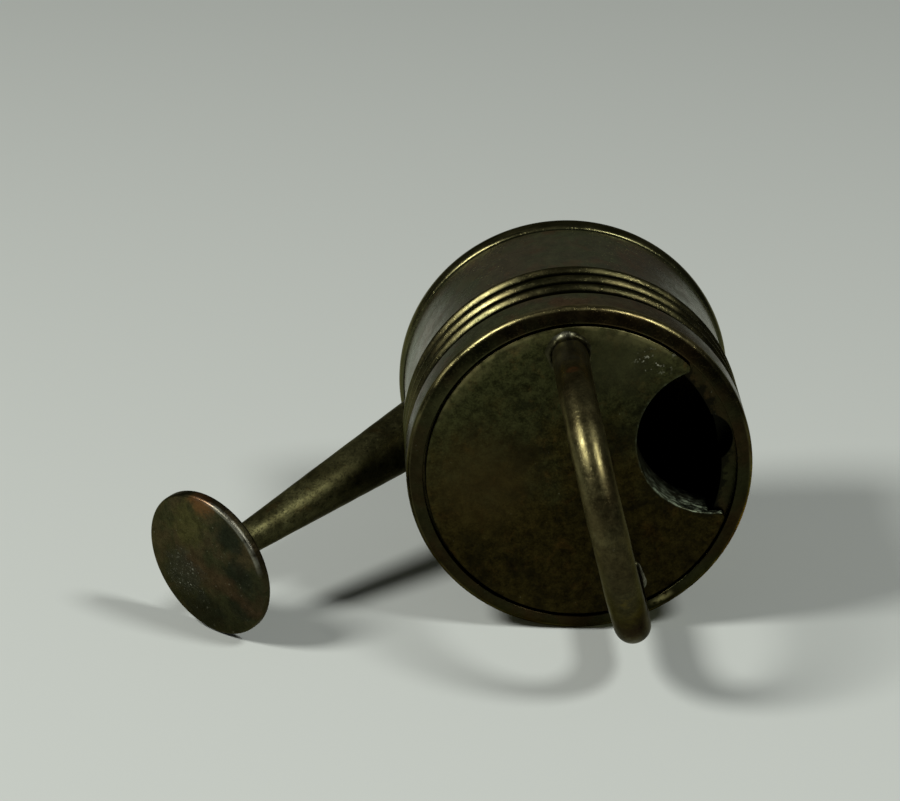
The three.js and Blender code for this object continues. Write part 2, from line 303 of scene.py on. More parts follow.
def plate_outline(rim):
    """Points round a disc with the mouth bitten out of it.

    Each comes with its outward normal, and with 1 on the mouth's arc, 0 on the rim and a share between.
    """
    centre_radius = rim - TONGUE_ROUND  # from the disc's centre to a rounded tongue's centre
    mouth_reach = MOUTH_RADIUS + TONGUE_ROUND  # from the mouth's centre to the same
    x = (centre_radius ** 2 - mouth_reach ** 2 + MOUTH_CENTRE_X ** 2) / (2 * MOUTH_CENTRE_X)
    y = math.sqrt(centre_radius ** 2 - x ** 2)
    outer_end = math.degrees(math.atan2(y, x))
    mouth_end = math.degrees(math.atan2(y, x - MOUTH_CENTRE_X))
    samples = []

    def add_arc(centre, radius, start, end, steps, outward, first_share, last_share):
        for i, place in enumerate(arc(centre[0], centre[1], radius, start, end, steps)[:-1]):
            normal = (Vector(place) - Vector(centre)).normalized() * outward
            share = first_share + (last_share - first_share) * i / steps
            samples.append((Vector(place), normal, share))

    add_arc((0, 0), rim, -outer_end, outer_end, 220, 1, 0, 0)
    add_arc((x, y), TONGUE_ROUND, outer_end, mouth_end + 180, 12, 1, 0, 1)
    add_arc((MOUTH_CENTRE_X, 0), MOUTH_RADIUS, mouth_end, -mouth_end, 90, -1, 1, 1)
    add_arc((x, -y), TONGUE_ROUND, 180 - mouth_end, 360 - outer_end, 12, 1, 1, 0)
    return samples


def plate_slab(rim, levels):
    """A slab of the plate from (inset, z) levels, bottom to top."""
    samples = plate_outline(rim)
    points = []
    for inset, z in levels:
        taper = MOUTH_TAPER * (PLATE_HIGH.z - z) / (PLATE_HIGH.z - PLATE_LOW.z)
        for place, normal, mouth in samples:
            flat = place + normal * (taper * mouth - inset) + PLATE_SHIFT
            points.append(Vector((flat.x, flat.y, z)))
    count = len(samples)
    faces = ring_faces(len(levels), count)
    faces.append(tuple(reversed(range(count))))
    faces.append(tuple(range((len(levels) - 1) * count, len(levels) * count)))
    return points, faces


def build_top_plate(material):
    """A thin flange that rests in the rim, on a plug that fills the bore."""
    flange_z = PLATE_HIGH.z - FLANGE_THICKNESS
    edge = arc(PLATE_EDGE_ROUND, PLATE_HIGH.z - PLATE_EDGE_ROUND, PLATE_EDGE_ROUND, 180, 90, 6)
    points, faces = plate_slab(DISC_RADIUS + PLATE_GROWTH, [(0, flange_z)] + edge)
    plug_levels = [(0, PLATE_LOW.z + (flange_z - PLATE_LOW.z) * i / 6) for i in range(7)]
    plug_points, plug_faces = plate_slab(BORE_RADIUS - PLUG_CLEARANCE, plug_levels)
    first = len(points)
    points += plug_points
    faces += [tuple(first + index for index in face) for face in plug_faces]
    plate = add_piece("top_plate_disc", "top_plate", points, faces, material)
    flat_normals = plate.modifiers.new("flat_normals", "WEIGHTED_NORMAL")
    flat_normals.keep_sharp = True


# ---------------- handle
def hoop(t):
    """The rod's centre line and direction, t from 0 at the foot on -Y to 1 at the foot on +Y."""
    bend_z = HANDLE_HIGH.z - ROD_RADIUS - HANDLE_HALF_SPAN
    leg = bend_z - HANDLE_LOW.z
    bend = math.pi * HANDLE_HALF_SPAN
    along = t * (2 * leg + bend)
    if along < leg:
        return Vector((HANDLE_X, -HANDLE_HALF_SPAN, HANDLE_LOW.z + along)), Vector((0, 0, 1))
    if along > leg + bend:
        return Vector((HANDLE_X, HANDLE_HALF_SPAN, bend_z - (along - leg - bend))), Vector((0, 0, -1))
    angle = (along - leg) / HANDLE_HALF_SPAN
    place = Vector((
        HANDLE_X, -HANDLE_HALF_SPAN * math.cos(angle), bend_z + HANDLE_HALF_SPAN * math.sin(angle)))
    return place, Vector((0, math.sin(angle), math.cos(angle)))


def build_handle(material):
    """Round rod bent to a hoop, with faint dents."""
    steps, sides = 220, 56
    points = []
    for i in range(steps + 1):
        place, along = hoop(i / steps)
        across = Vector((1, 0, 0))
        outward = along.cross(across)
        for j in range(sides):
            angle = 2 * math.pi * j / sides
            direction = across * math.cos(angle) + outward * math.sin(angle)
            unevenness = wobble(place + direction * ROD_RADIUS, 0.35, DENT_DEPTH)
            radius = ROD_RADIUS - DENT_DEPTH + unevenness
            points.append(place + direction * radius)
    return add_piece("handle_rod", "handle", points, rod_faces(steps + 1, sides), material)


def build_handle_solder(side, node, material):
    """An uneven collar of solder with a hollow cheek, round one foot of the handle."""
    around, steps = 96, 10
    _, high = box_mm(node)
    foot = Vector((HANDLE_X, side * HANDLE_HALF_SPAN, PLATE_HIGH.z))
    rise = high.z - PLATE_HIGH.z
    collar_width = RIGHT_COLLAR_WIDTH if side < 0 else LEFT_COLLAR_WIDTH
    points = []
    for i in range(steps + 2):
        angle = i / steps * math.pi / 2
        for j in range(around):
            turn = 2 * math.pi * j / around
            direction = Vector((math.cos(turn), math.sin(turn), 0))
            width = collar_width + wobble(direction * 1.3 + foot, 1, 0.5)
            height = rise * (COLLAR_SHARE + wobble(direction * 1.1 - foot, 1, 0.6))
            radius = ROD_RADIUS + width * (1 - math.sin(angle))
            radius += wobble(direction * 4 + Vector((0, 0, i * 0.3)), 1, 0.06)
            lift = height * (1 - math.cos(angle)) - SOLDER_OVERLAP
            if i > steps:  # the hidden corner, inside the rod and the plate
                radius = ROD_RADIUS - HIDDEN_CORNER_DEPTH
                lift = -SOLDER_OVERLAP
            points.append(foot + direction * radius + Vector((0, 0, lift)))
    faces = ring_faces(steps + 2, around, close_rings=True)
    name = "handle_solder_a" if side < 0 else "handle_solder_b"
    add_piece(name, node, points, faces, material, SOLDER_SMOOTH_ANGLE)


# ---------------- spout and rose
def spout_radius(s):
    """The spout's radius at a distance s along its axis, from where that axis meets the body's."""
    share = (s - SPOUT_WALL_S) / (ROSE_BACK_S - SPOUT_WALL_S)
    return SPOUT_ROOT_RADIUS + (SPOUT_TIP_RADIUS - SPOUT_ROOT_RADIUS) * share


def build_spout(material):
    """A solid taper from inside the body's wall to the rose's back."""
    steps, sides = 120, 96
    start = SPOUT_WALL_S - SPOUT_ROOT_RADIUS - SPOUT_PIN
    points = []
    for i in range(steps + 1):
        s = start + (ROSE_BACK_S - start) * i / steps
        for j in range(sides):
            angle = 2 * math.pi * j / sides
            direction = Vector((math.cos(angle), math.sin(angle), 0))
            radius = spout_radius(s) + wobble(direction * 2 + Vector((0, 0, s * 0.6)), 1, 0.02)
            points.append(outside_bore(SPOUT_AXIS @ (direction * radius + Vector((0, 0, s)))))
    return add_piece("spout_tube", "spout", points, rod_faces(steps + 1, sides), material)


def outside_bore(point):
    """Pushes a point that would stand in the bore back into the wall."""
    safe = BORE_RADIUS + SPOUT_END_INSET
    flat = math.hypot(point.x, point.y)
    if flat >= safe:
        return point
    return Vector((point.x * safe / flat, point.y * safe / flat, point.z))


def on_spout(s, angle):
    """A point on the spout's surface."""
    radius = spout_radius(s)
    return SPOUT_AXIS @ Vector((radius * math.cos(angle), radius * math.sin(angle), s))


def wall_crossing(angle):
    """Where the spout's surface at an angle round its axis goes into the body's wall."""
    reach, halvings = 8, 40
    low, high = SPOUT_WALL_S - reach, SPOUT_WALL_S + reach
    for _ in range(halvings):
        s = (low + high) / 2
        p = on_spout(s, angle)
        if math.hypot(p.x, p.y) < WALL_RADIUS:
            low = s
        else:
            high = s
    return p, s


def build_spout_solder(material):
    """A hollow fillet in the corner between the spout and the wall."""
    around, steps = 128, 8
    rows = [[] for _ in range(steps + 2)]
    for j in range(around):
        angle = 2 * math.pi * j / around
        corner, s = wall_crossing(angle)
        along_spout = (on_spout(s + 1, angle) - corner).normalized()
        centre = SPOUT_AXIS @ Vector((0, 0, s))
        wall_normal = Vector((corner.x, corner.y, 0)).normalized()
        along_wall = corner - centre
        along_wall = (along_wall - wall_normal * along_wall.dot(wall_normal)).normalized()
        size = FILLET_SIZE + wobble(corner, 0.6, 0.25)
        sunk = (wall_normal + along_wall) * FILLET_SUNK
        for i in range(steps + 1):
            share = i / steps
            place = corner + along_wall * size * (1 - share) ** 2 + along_spout * size * share ** 2
            rows[i].append(place - sunk)
        rows[steps + 1].append(corner - sunk * 4)  # hidden in the brass
    points = [p for row in rows for p in row]
    faces = ring_faces(steps + 2, around, close_rings=True)
    add_piece(
        "spout_root_solder", "spout_solder", points, faces, material, SOLDER_SMOOTH_ANGLE)


def build_rose(material):
    """A disc with a flat back, rounded edges and a domed face."""
    inset = ROSE_RADIUS - ROSE_EDGE_ROUND
    outline = [(0, ROSE_BACK_S), (ROSE_RADIUS / 2, ROSE_BACK_S)]
    outline += arc(inset, ROSE_BACK_S + ROSE_EDGE_ROUND, ROSE_EDGE_ROUND, -90, 0, 8)
    outline += arc(inset, ROSE_FACE_S - ROSE_EDGE_ROUND, ROSE_EDGE_ROUND, 0, 86, 8)
    steps = 24
    for i in range(1, steps):
        radius = inset * (1 - i / steps)
        outline.append((radius, ROSE_FACE_S + ROSE_DOME * (1 - (radius / inset) ** 2)))
    outline.append((0, ROSE_FACE_S + ROSE_DOME))
    points, faces = turned_disc(outline)
    placed = [SPOUT_AXIS @ p for p in points]
    return add_piece("rose_disc", "rose", placed, faces, material)


def build_rose_solder(material):
    """A hollow fillet between the spout's tip and the rose's back."""
    around, steps = 72, 8
    points = []
    for i in range(steps + 2):
        angle = i / steps * math.pi / 2
        for j in range(around):
            turn = -2 * math.pi * j / around  # this way round the faces look outwards
            direction = Vector((math.cos(turn), math.sin(turn), 0))
            size = FILLET_SIZE + wobble(direction * 1.4, 1, 0.3)
            s = ROSE_BACK_S + SOLDER_OVERLAP - size * (1 - math.cos(angle))
            radius = spout_radius(s) - SOLDER_OVERLAP + size * (1 - math.sin(angle))
            if i > steps:  # the hidden corner, inside the spout and the rose
                s = ROSE_BACK_S + SOLDER_OVERLAP
                radius = spout_radius(s) - HIDDEN_CORNER_DEPTH
            points.append(SPOUT_AXIS @ (direction * radius + Vector((0, 0, s))))
    faces = ring_faces(steps + 2, around, close_rings=True)
    add_piece(
        "rose_neck_solder", "rose_solder", points, faces, material, SOLDER_SMOOTH_ANGLE)


# ---------------- colours
TARNISHED_EDGE = (0.62, 0.60, 0.48, 1)  # tarnish reflects less at a grazing angle than clean metal
DIRTY_EDGE = (0.26, 0.25, 0.18, 1)
CLEAN_EDGE = (0.90, 0.92, 0.78, 1)
# near black: soot on the plate and the spout, and painted shade in the rib grooves, on the ledge and
# inside the bore
SOOT_AND_SHADE = (0.005, 0.005, 0.003, 1)
PALE_DIRT = (0.300, 0.300, 0.220, 1)
VERDIGRIS = (0.270, 0.330, 0.220, 1)
RUST = (0.075, 0.036, 0.009, 1)
COPPER = (0.240, 0.100, 0.035, 1)
WORN_GOLD_AND_HIGHLIGHT = (0.420, 0.370, 0.160, 1)
WALL_OLIVE = (0.057, 0.062, 0.028, 1)
WALL_BROWN = (0.064, 0.053, 0.028, 1)
WALL_RED = (0.090, 0.048, 0.024, 1)
RIM_GREEN = (0.020, 0.020, 0.008, 1)
RIM_BROWN = (0.025, 0.017, 0.007, 1)
RIB_OLIVE = (0.030, 0.031, 0.013, 1)
BEAD_GREEN = (0.062, 0.066, 0.032, 1)
PLATE_GREEN = (0.027, 0.028, 0.010, 1)
PLATE_BROWN = (0.030, 0.023, 0.006, 1)
STAIN_BROWN = (0.046, 0.033, 0.011, 1)
STAIN_GREY = (0.046, 0.045, 0.020, 1)
ROD_PALE = (0.066, 0.058, 0.025, 1)
ROD_BROWN = (0.042, 0.034, 0.014, 1)
ROD_YELLOW = (0.080, 0.062, 0.012, 1)
ROD_PURPLE = (0.019, 0.014, 0.010, 1)
HEATED_BROWN = (0.026, 0.019, 0.008, 1)
FLUX = (0.110, 0.110, 0.075, 1)
SPOUT_PALE = (0.115, 0.110, 0.046, 1)
SPOUT_OLIVE = (0.060, 0.056, 0.022, 1)
ROSE_GREEN = (0.034, 0.036, 0.016, 1)
ROSE_BROWN = (0.056, 0.044, 0.021, 1)
ROSE_YELLOW = (0.074, 0.068, 0.022, 1)
ROSE_DARK_GREEN = (0.013, 0.017, 0.011, 1)
ROSE_RED_BROWN = (0.070, 0.042, 0.022, 1)
ROSE_GREY = (0.040, 0.042, 0.030, 1)
ROSE_RUBBED_AND_HIGHLIT = (0.300, 0.300, 0.240, 1)
SOLDER_GREY = (0.038, 0.036, 0.018, 1)
SOLDER_RUBBED_AND_HIGHLIT = (0.220, 0.220, 0.160, 1)
CLOTH = (0.66, 0.70, 0.66, 1)
ROOM_SEEN = (0.45, 0.46, 0.45, 1)
ROOM_LIGHT = (0.045, 0.047, 0.045, 1)


# ---------------- node helpers
class Graph:
    """Adds shader nodes to a new material and hands back their output sockets."""

    def __init__(self, name):
        self.material = bpy.data.materials.new(name)
        self.material.use_nodes = True
        self.tree = self.material.node_tree
        self.tree.nodes.clear()
        coordinates = self.add("TexCoord", {}).outputs["Object"]
        self.place = self.vector("SCALE", coordinates, scale=1 / MM)  # position in millimetres
        self.x, self.y, self.z = self.add("SeparateXYZ", {"Vector": self.place}).outputs

    def put(self, socket, value):
        """Links a socket to another node's output, or sets its value."""
        if isinstance(value, bpy.types.NodeSocket):
            self.tree.links.new(value, socket)
        elif socket.type == "VECTOR":
            socket.default_value = value[:3]
        else:
            socket.default_value = value

    def add(self, kind, sockets):
        """A new node of a kind, with the named sockets linked or set."""
        node = self.tree.nodes.new("ShaderNode" + kind)
        for name, value in sockets.items():
            self.put(node.inputs[name], value)
        return node

    def vector(self, operation, a, b=None, scale=None):
        node = self.tree.nodes.new("ShaderNodeVectorMath")
        node.operation = operation
        self.put(node.inputs[0], a)
        if b is not None:
            self.put(node.inputs[1], b)
        if scale is not None:
            self.put(node.inputs["Scale"], scale)
        gives_number = operation in ("LENGTH", "DISTANCE", "DOT_PRODUCT")
        return node.outputs["Value"] if gives_number else node.outputs["Vector"]

    def scaled(self, tone, factor):
        return self.vector("SCALE", tone, scale=factor)

    def distance(self, a, b):
        return self.vector("DISTANCE", a, b)

    def dot(self, a, b):
        return self.vector("DOT_PRODUCT", a, b)

    def flat(self):
        """The position without its height."""
        return self.combine(self.x, self.y, 0.0)

    def math(self, operation, a, b=0.0):
        node = self.tree.nodes.new("ShaderNodeMath")
        node.operation = operation
        self.put(node.inputs[0], a)
        self.put(node.inputs[1], b)
        return node.outputs[0]

    def times(self, *values):
        product = values[0]
        for value in values[1:]:
            product = self.math("MULTIPLY", product, value)
        return product

    def most(self, *values):
        largest = values[0]
        for value in values[1:]:
            largest = self.math("MAXIMUM", largest, value)
        return largest

    def step(self, value, low, high, to_low=0.0, to_high=1.0):
        """A smooth ramp from to_low at low to to_high at high."""
        node = self.add("MapRange", {
            "Value": value, "From Min": low, "From Max": high, "To Min": to_low, "To Max": to_high})
        node.interpolation_type = "SMOOTHSTEP"
        return node.outputs["Result"]

    def near(self, value, centre, reach):
        """1 where value is at centre, falling smoothly to 0 at reach away."""
        away = self.math("ABSOLUTE", self.math("SUBTRACT", value, centre))
        return self.step(away, 0, reach, 1, 0)

    def combine(self, x, y, z):
        return self.add("CombineXYZ", {"X": x, "Y": y, "Z": z}).outputs["Vector"]

    def noise(self, scale, detail=4, roughness=0.55, distortion=0.0, at=None):
        return self.add("TexNoise", {
            "Vector": self.place if at is None else at, "Scale": scale, "Detail": detail,
            "Roughness": roughness, "Distortion": distortion}).outputs["Fac"]

    def uneven(self, amount, scale, detail, roughness, distortion=0.0):
        """Noise about zero, to make a straight limit ragged."""
        noise_level = self.noise(scale, detail, roughness, distortion)
        return self.times(self.math("SUBTRACT", noise_level, 0.5), amount)

    def mix(self, share, a, b):
        node = self.tree.nodes.new("ShaderNodeMix")
        node.data_type = "RGBA"
        self.put(node.inputs["Factor"], share)
        self.put(node.inputs["A"], a)
        self.put(node.inputs["B"], b)
        return node.outputs["Result"]

    def bump(self, height, strength, distance, under=None):
        sockets = {"Height": height, "Strength": strength, "Distance": distance * MM}
        if under is not None:
            sockets["Normal"] = under
        return self.add("Bump", sockets).outputs["Normal"]

    def finish(self, colour, roughness, normal, metallic, edge_tint=TARNISHED_EDGE, gloss=0.5):
        shader = self.add("BsdfPrincipled", {
            "Base Color": colour, "Roughness": roughness, "Normal": normal, "Metallic": metallic,
            "Specular Tint": edge_tint, "Specular IOR Level": gloss})
        self.add("OutputMaterial", {"Surface": shader.outputs["BSDF"]})
        return self.material


def mottled(graph, tone, scale, amount):
    """The same colour, lighter and darker in small clouds and finer grain."""
    clouds = graph.noise(scale, 6, 0.7, 0.2)
    grain = graph.noise(scale * 5, 3, 0.7)
    both = graph.math("ADD", graph.times(clouds, 0.6), graph.times(grain, 0.4))
    return graph.scaled(tone, graph.step(both, 0.32, 0.68, 1 - amount, 1 + amount))


def flecks(graph, scale, rarity):
    """A mask of small spots; rarity is the noise level above which they show."""
    return graph.step(graph.noise(scale, 4, 0.65, 0.3), rarity, rarity + 0.07)


def ragged_patch(graph, place, reach):
    """A mask of an uneven patch round a place."""
    uneven = graph.uneven(reach * 2.2, 0.55, 6, 0.72, 0.4)
    distance = graph.math("ADD", graph.distance(graph.place, place), uneven)
    return graph.step(distance, reach, reach * 0.35)


def varied_roughness(graph, scale, smooth, rough, detail=5):
    """Roughness that drifts between two values over the surface."""
    return graph.step(graph.noise(scale, detail, 0.6), 0.3, 0.7, smooth, rough)


def surface_detail(graph, pit_depth=0.02, marks=None):
    """Soft unevenness, pits and, where given, turning marks, as a normal."""
    pits = graph.step(graph.noise(4.5, 3, 0.6), 0.54, 0.70, 1, 0)
    normal = graph.bump(graph.noise(0.7, 3, 0.5), 0.3, 0.06)
    normal = graph.bump(pits, 0.5, pit_depth, normal)
    if marks is not None:
        normal = graph.bump(marks, 0.3, 0.012, normal)
    return normal


# ---------------- the body's material
class BodyMasks:
    """Masks from 0 to 1 that say where each feature of the body is, where it is rubbed or carries a
    painted highlight, and where it gets painted shade.
    """

    def __init__(self, graph):
        radius = graph.vector("LENGTH", graph.flat())
        along = graph.times(graph.math("ARCTAN2", graph.y, graph.x), BODY_RADIUS)
        above_base = graph.step(graph.z, 3, 4)
        self.rim_and_bead = graph.most(
            graph.step(graph.z, BODY_HEIGHT - 0.9, BODY_HEIGHT - 0.5),
            graph.step(graph.z, BEAD_HEIGHT + 0.1, BEAD_HEIGHT - 0.1),
            graph.times(graph.step(radius, SEAT_RADIUS + 0.02, SEAT_RADIUS), above_base))
        self.bead = graph.step(graph.z, BEAD_HEIGHT, BEAD_HEIGHT + 0.1, 1, 0)
        self.ribs = graph.times(
            graph.step(graph.z, FIRST_RIB_Z - 1, FIRST_RIB_Z - 0.9),
            graph.step(graph.z, BAND_BOTTOM_Z - 0.6, BAND_BOTTOM_Z - 0.5, 1, 0))
        self.grooves = graph.times(
            self.ribs, graph.step(radius, WALL_RADIUS + 0.02, WALL_RADIUS + 0.12, 1, 0))
        self.band = graph.step(graph.z, BAND_BOTTOM_Z - 0.1, BAND_BOTTOM_Z + 0.1)
        self.plain_wall = graph.times(
            graph.step(graph.z, BEAD_HEIGHT + 0.1, BEAD_HEIGHT + 0.3),
            graph.step(graph.z, FIRST_RIB_Z - 0.9, FIRST_RIB_Z - 1))
        self.inside = graph.step(radius, BORE_RADIUS + 0.1, BORE_RADIUS - 0.1)
        self.notch = graph.times(
            graph.step(graph.distance(graph.flat(), (PILOT_CENTRE_X, 0, 0)),
                       PILOT_RADIUS + 0.10, PILOT_RADIUS + 0.03),
            graph.step(graph.z, BAND_BOTTOM_Z - 1, BAND_BOTTOM_Z - 0.5))
        # painted shade on the ledge that the plate rests on, with a ragged edge
        ragged_edge = graph.step(graph.noise(0.8, 5, 0.7), 0.3, 0.7, -0.7, 0.7)
        self.ledge_shade = graph.times(
            graph.step(graph.math("ADD", radius, ragged_edge), BORE_RADIUS + 0.9, BORE_RADIUS + 0.3),
            above_base)
        self.streaks = graph.noise(1.0, 4, 0.6, 0.0, graph.combine(
            graph.times(along, 0.3), graph.times(graph.z, 3.0), 0.0))
        self.worn_and_highlit = self.worn_and_highlit_edges(graph, radius)
        self.worn_and_highlit_rim = graph.times(
            self.worn_and_highlit, graph.step(graph.z, BODY_HEIGHT - 1.4, BODY_HEIGHT - 1.3))
        self.scraped = graph.times(
            graph.near(along, RIM_SCRAPE_ANGLE * BODY_RADIUS, 1.5),
            graph.near(radius, SEAT_RADIUS + 0.45, 0.5),
            graph.step(graph.z, BODY_HEIGHT - 0.8, BODY_HEIGHT - 0.6),
            graph.step(graph.noise(1.6, 4, 0.65), 0.35, 0.55))

    def worn_and_highlit_edges(self, graph, radius):
        """Crests, edges and the rim, rubbed bright in places on the side that lies upwards: partly wear,
        partly a painted highlight where the lights fall.
        """
        crest = graph.step(radius, BODY_RADIUS - 0.42, BODY_RADIUS - 0.25)
        band_edge = graph.near(graph.z, BAND_BOTTOM_Z + 0.15, 0.3)
        rim = graph.times(
            graph.near(graph.z, BODY_HEIGHT - 0.65, 0.55),
            graph.step(radius, BODY_RADIUS - 0.4, BODY_RADIUS - 0.25))
        edges = graph.most(
            graph.times(crest, graph.most(self.ribs, self.bead)), graph.times(band_edge, 0.4), rim)
        turned_up = graph.step(graph.y, -6, -10.5, 0.25, 1)
        lengths = graph.step(graph.noise(0.22, 4, 0.6), 0.42, 0.60, 0.55, 1)
        return graph.times(edges, graph.step(self.streaks, 0.38, 0.56, 0.3, 1), turned_up, lengths)


def body_tarnish_and_painted_light(graph, masks):
    """The unworn colours of the wall, the rim, the foot bead and the ribs, with painted light making the
    rim and bead lighter towards -Y.
    """
    clouds = graph.step(graph.noise(0.16, 6, 0.6, 0.4), 0.38, 0.62)
    tone = graph.mix(clouds, WALL_OLIVE, WALL_BROWN)
    red = graph.step(graph.noise(0.28, 5, 0.65, 0.5), 0.50, 0.66)
    tone = graph.mix(graph.times(red, 0.5), tone, WALL_RED)
    rim_tone = graph.mix(clouds, RIM_GREEN, RIM_BROWN)
    # painted light: the rim and bead are lighter towards -Y, the side that lies upwards
    rim_tone = graph.scaled(rim_tone, graph.step(graph.y, -4, -12, 0.85, 1.7))
    tone = graph.mix(masks.rim_and_bead, tone, rim_tone)
    tone = mottled(graph, tone, 0.9, 0.30)
    tone = graph.mix(graph.times(masks.bead, 0.8), tone, BEAD_GREEN)
    return graph.mix(graph.times(masks.ribs, 0.7), tone, RIB_OLIVE)


def body_wear_highlight_and_shade(graph, masks, tone):
    """Rubbed metal, partly a painted highlight, then painted shade in the grooves, on the ledge and
    inside the bore, a scrape and pale dirt, over the tarnish.
    """
    # rubbed brass, partly a painted highlight, on crests and the rim on the side that lies upwards
    gold = graph.most(graph.times(masks.worn_and_highlit, 0.30), graph.times(masks.worn_and_highlit_rim, 0.6))
    tone = graph.mix(gold, tone, WORN_GOLD_AND_HIGHLIGHT)
    # painted shade: near black in the grooves between the ribs
    tone = graph.mix(graph.times(masks.grooves, 0.7), tone, SOOT_AND_SHADE)
    tone = graph.mix(graph.times(masks.scraped, 0.9), tone, WORN_GOLD_AND_HIGHLIGHT)
    tone = graph.mix(graph.times(masks.ledge_shade, 0.85), tone, SOOT_AND_SHADE)
    tone = graph.mix(graph.times(flecks(graph, 2.6, 0.70), 0.7), tone, PALE_DIRT)
    # painted shade: near black inside the bore and in the pilot notch
    return graph.mix(graph.times(graph.most(masks.inside, masks.notch), 0.95), tone, SOOT_AND_SHADE)


def body_material():
    graph = Graph("body_brass")
    masks = BodyMasks(graph)
    tone = body_wear_highlight_and_shade(graph, masks, body_tarnish_and_painted_light(graph, masks))
    bare = graph.most(masks.worn_and_highlit, masks.rim_and_bead, masks.ribs, masks.inside, masks.notch)
    metallic = graph.step(bare, 0, 0.6, 0.55, 1)
    roughness = graph.most(
        varied_roughness(graph, 0.5, 0.20, 0.34),
        graph.times(masks.worn_and_highlit, 0.31), graph.times(masks.worn_and_highlit_rim, 0.42))
    edge_tint = graph.mix(masks.band, TARNISHED_EDGE, DIRTY_EDGE)
    edge_tint = graph.mix(masks.plain_wall, edge_tint, CLEAN_EDGE)
    gloss = graph.step(masks.band, 0, 1, 0.5, 0.12)
    normal = surface_detail(graph, 0.012, masks.streaks)
    return graph.finish(tone, roughness, normal, metallic, edge_tint, gloss)


# ---------------- the discs' material
def plate_tarnish_and_painted_light(graph):
    """Green on the side that lies upwards, brown on the lower side, with rust and stains; painted shade
    darkens it towards the lower side and painted light brightens it near the upper edge.
    """
    uneven = graph.uneven(30, 0.20, 6, 0.70)
    browner = graph.step(graph.math("ADD", graph.y, uneven), -7, 3)
    tone = graph.mix(browner, PLATE_GREEN, PLATE_BROWN)
    rust = graph.step(graph.noise(0.50, 6, 0.75, 0.4), 0.52, 0.68)
    tone = graph.mix(graph.times(rust, 0.28), tone, RUST)
    tone = mottled(graph, tone, 1.2, 0.70)
    dark = graph.step(graph.noise(0.24, 6, 0.70, 0.5), 0.47, 0.64)
    tone = graph.mix(graph.times(dark, 0.60), tone, SOOT_AND_SHADE)
    # painted shade and light: darker towards +Y, lighter near the upper edge on -Y
    tone = graph.scaled(tone, graph.step(graph.y, -11, 9, 1.24, 0.70))
    tone = graph.scaled(tone, graph.step(graph.y, -9.5, -12.5, 1, 1.45))
    brown_stain = graph.step(graph.distance(graph.flat(), SPOUT_SIDE_STAIN), 7, 1)
    tone = graph.mix(graph.times(brown_stain, 0.6), tone, STAIN_BROWN)
    grey_stain = graph.step(graph.distance(graph.flat(), MOUTH_SIDE_STAIN), 5, 1)
    return graph.mix(graph.times(grey_stain, 0.7), tone, STAIN_GREY)


def plate_edge_wear_and_highlight(graph):
    """A mask of the disc's upper edge, rubbed bright here and there: partly wear, partly a painted
    highlight.
    """
    radius = graph.vector("LENGTH", graph.flat())
    near_edge = graph.most(
        graph.step(radius, DISC_RADIUS - 0.6, DISC_RADIUS - 0.05),
        graph.step(radius, DISC_RADIUS - 1.6, DISC_RADIUS - 0.5, 0, 0.3))
    broken = graph.step(graph.noise(0.9, 4, 0.6), 0.38, 0.58, 0.2, 1)
    return graph.times(near_edge, graph.step(graph.y, -6.5, -11), broken)


def mouth_verdigris(graph, on_top):
    """A mask of the crust on the mouth's wall, thickest on its lower side and near the top."""
    mouth_distance = graph.distance(graph.flat(), (MOUTH_CENTRE_X, 0, 0))
    at_mouth = graph.times(on_top, graph.step(mouth_distance, MOUTH_RADIUS + 0.22, MOUTH_RADIUS))
    layers = graph.combine(graph.x, graph.y, graph.times(graph.z, 2.5))
    crust = graph.step(graph.noise(1.3, 5, 0.7, 0.5, layers), 0.44, 0.66, 0.14, 1)
    high = graph.step(graph.z, PLATE_LOW.z, PLATE_HIGH.z - 0.6, 0.35, 1)
    lower_side = graph.step(graph.y, -1.5, 5.0, 0.15, 1)
    return graph.times(at_mouth, crust, high, lower_side)


def plate_material():
    """Brass of both discs; on_top keeps the marks round the mouth off the base."""
    graph = Graph("plate_brass")
    on_top = graph.step(graph.z, PLATE_LOW.z - 1, PLATE_LOW.z - 0.5)
    tone = plate_tarnish_and_painted_light(graph)
    # partly a rubbed edge, partly a painted highlight on the disc's upper edge
    tone = graph.mix(graph.times(plate_edge_wear_and_highlight(graph), 0.40), tone, WORN_GOLD_AND_HIGHLIGHT)
    verdigris = mouth_verdigris(graph, on_top)
    tone = graph.mix(verdigris, tone, VERDIGRIS)
    residue = graph.times(
        on_top, graph.step(graph.distance(graph.flat(), RESIDUE_PLACE), 2.2, 0.8),
        graph.step(graph.noise(2.3, 4, 0.6), 0.58, 0.67), 0.9)
    dirt = graph.most(residue, graph.times(flecks(graph, 2.4, 0.71), 0.6))
    tone = graph.mix(dirt, tone, PALE_DIRT)
    metallic = graph.step(graph.most(verdigris, dirt), 0, 1, 1, 0)
    return graph.finish(tone, varied_roughness(graph, 0.5, 0.34, 0.50), surface_detail(graph), metallic)


# ---------------- the handle's and the spout's material
def rod_tarnish_and_painted_light(graph):
    """Painted light and shade: paler towards the foot on -Y, darker towards +Y; with yellow patches on
    the bend and purple near the other foot.
    """
    clouds = graph.step(graph.noise(0.25, 5, 0.6, 0.3), 0.38, 0.62)
    tone = mottled(graph, graph.mix(clouds, ROD_PALE, ROD_BROWN), 0.9, 0.45)
    # painted light and shade: paler towards -Y, darker towards +Y
    tone = graph.scaled(tone, graph.step(graph.y, -11, 6, 1.9, 0.50))
    yellow = graph.times(
        graph.step(graph.noise(0.45, 5, 0.65), 0.52, 0.62), graph.near(graph.y, 3, 6))
    tone = graph.mix(graph.times(yellow, 0.6), tone, ROD_YELLOW)
    return graph.mix(graph.step(graph.y, 5, 9.5, 0, 0.75), tone, ROD_PURPLE)


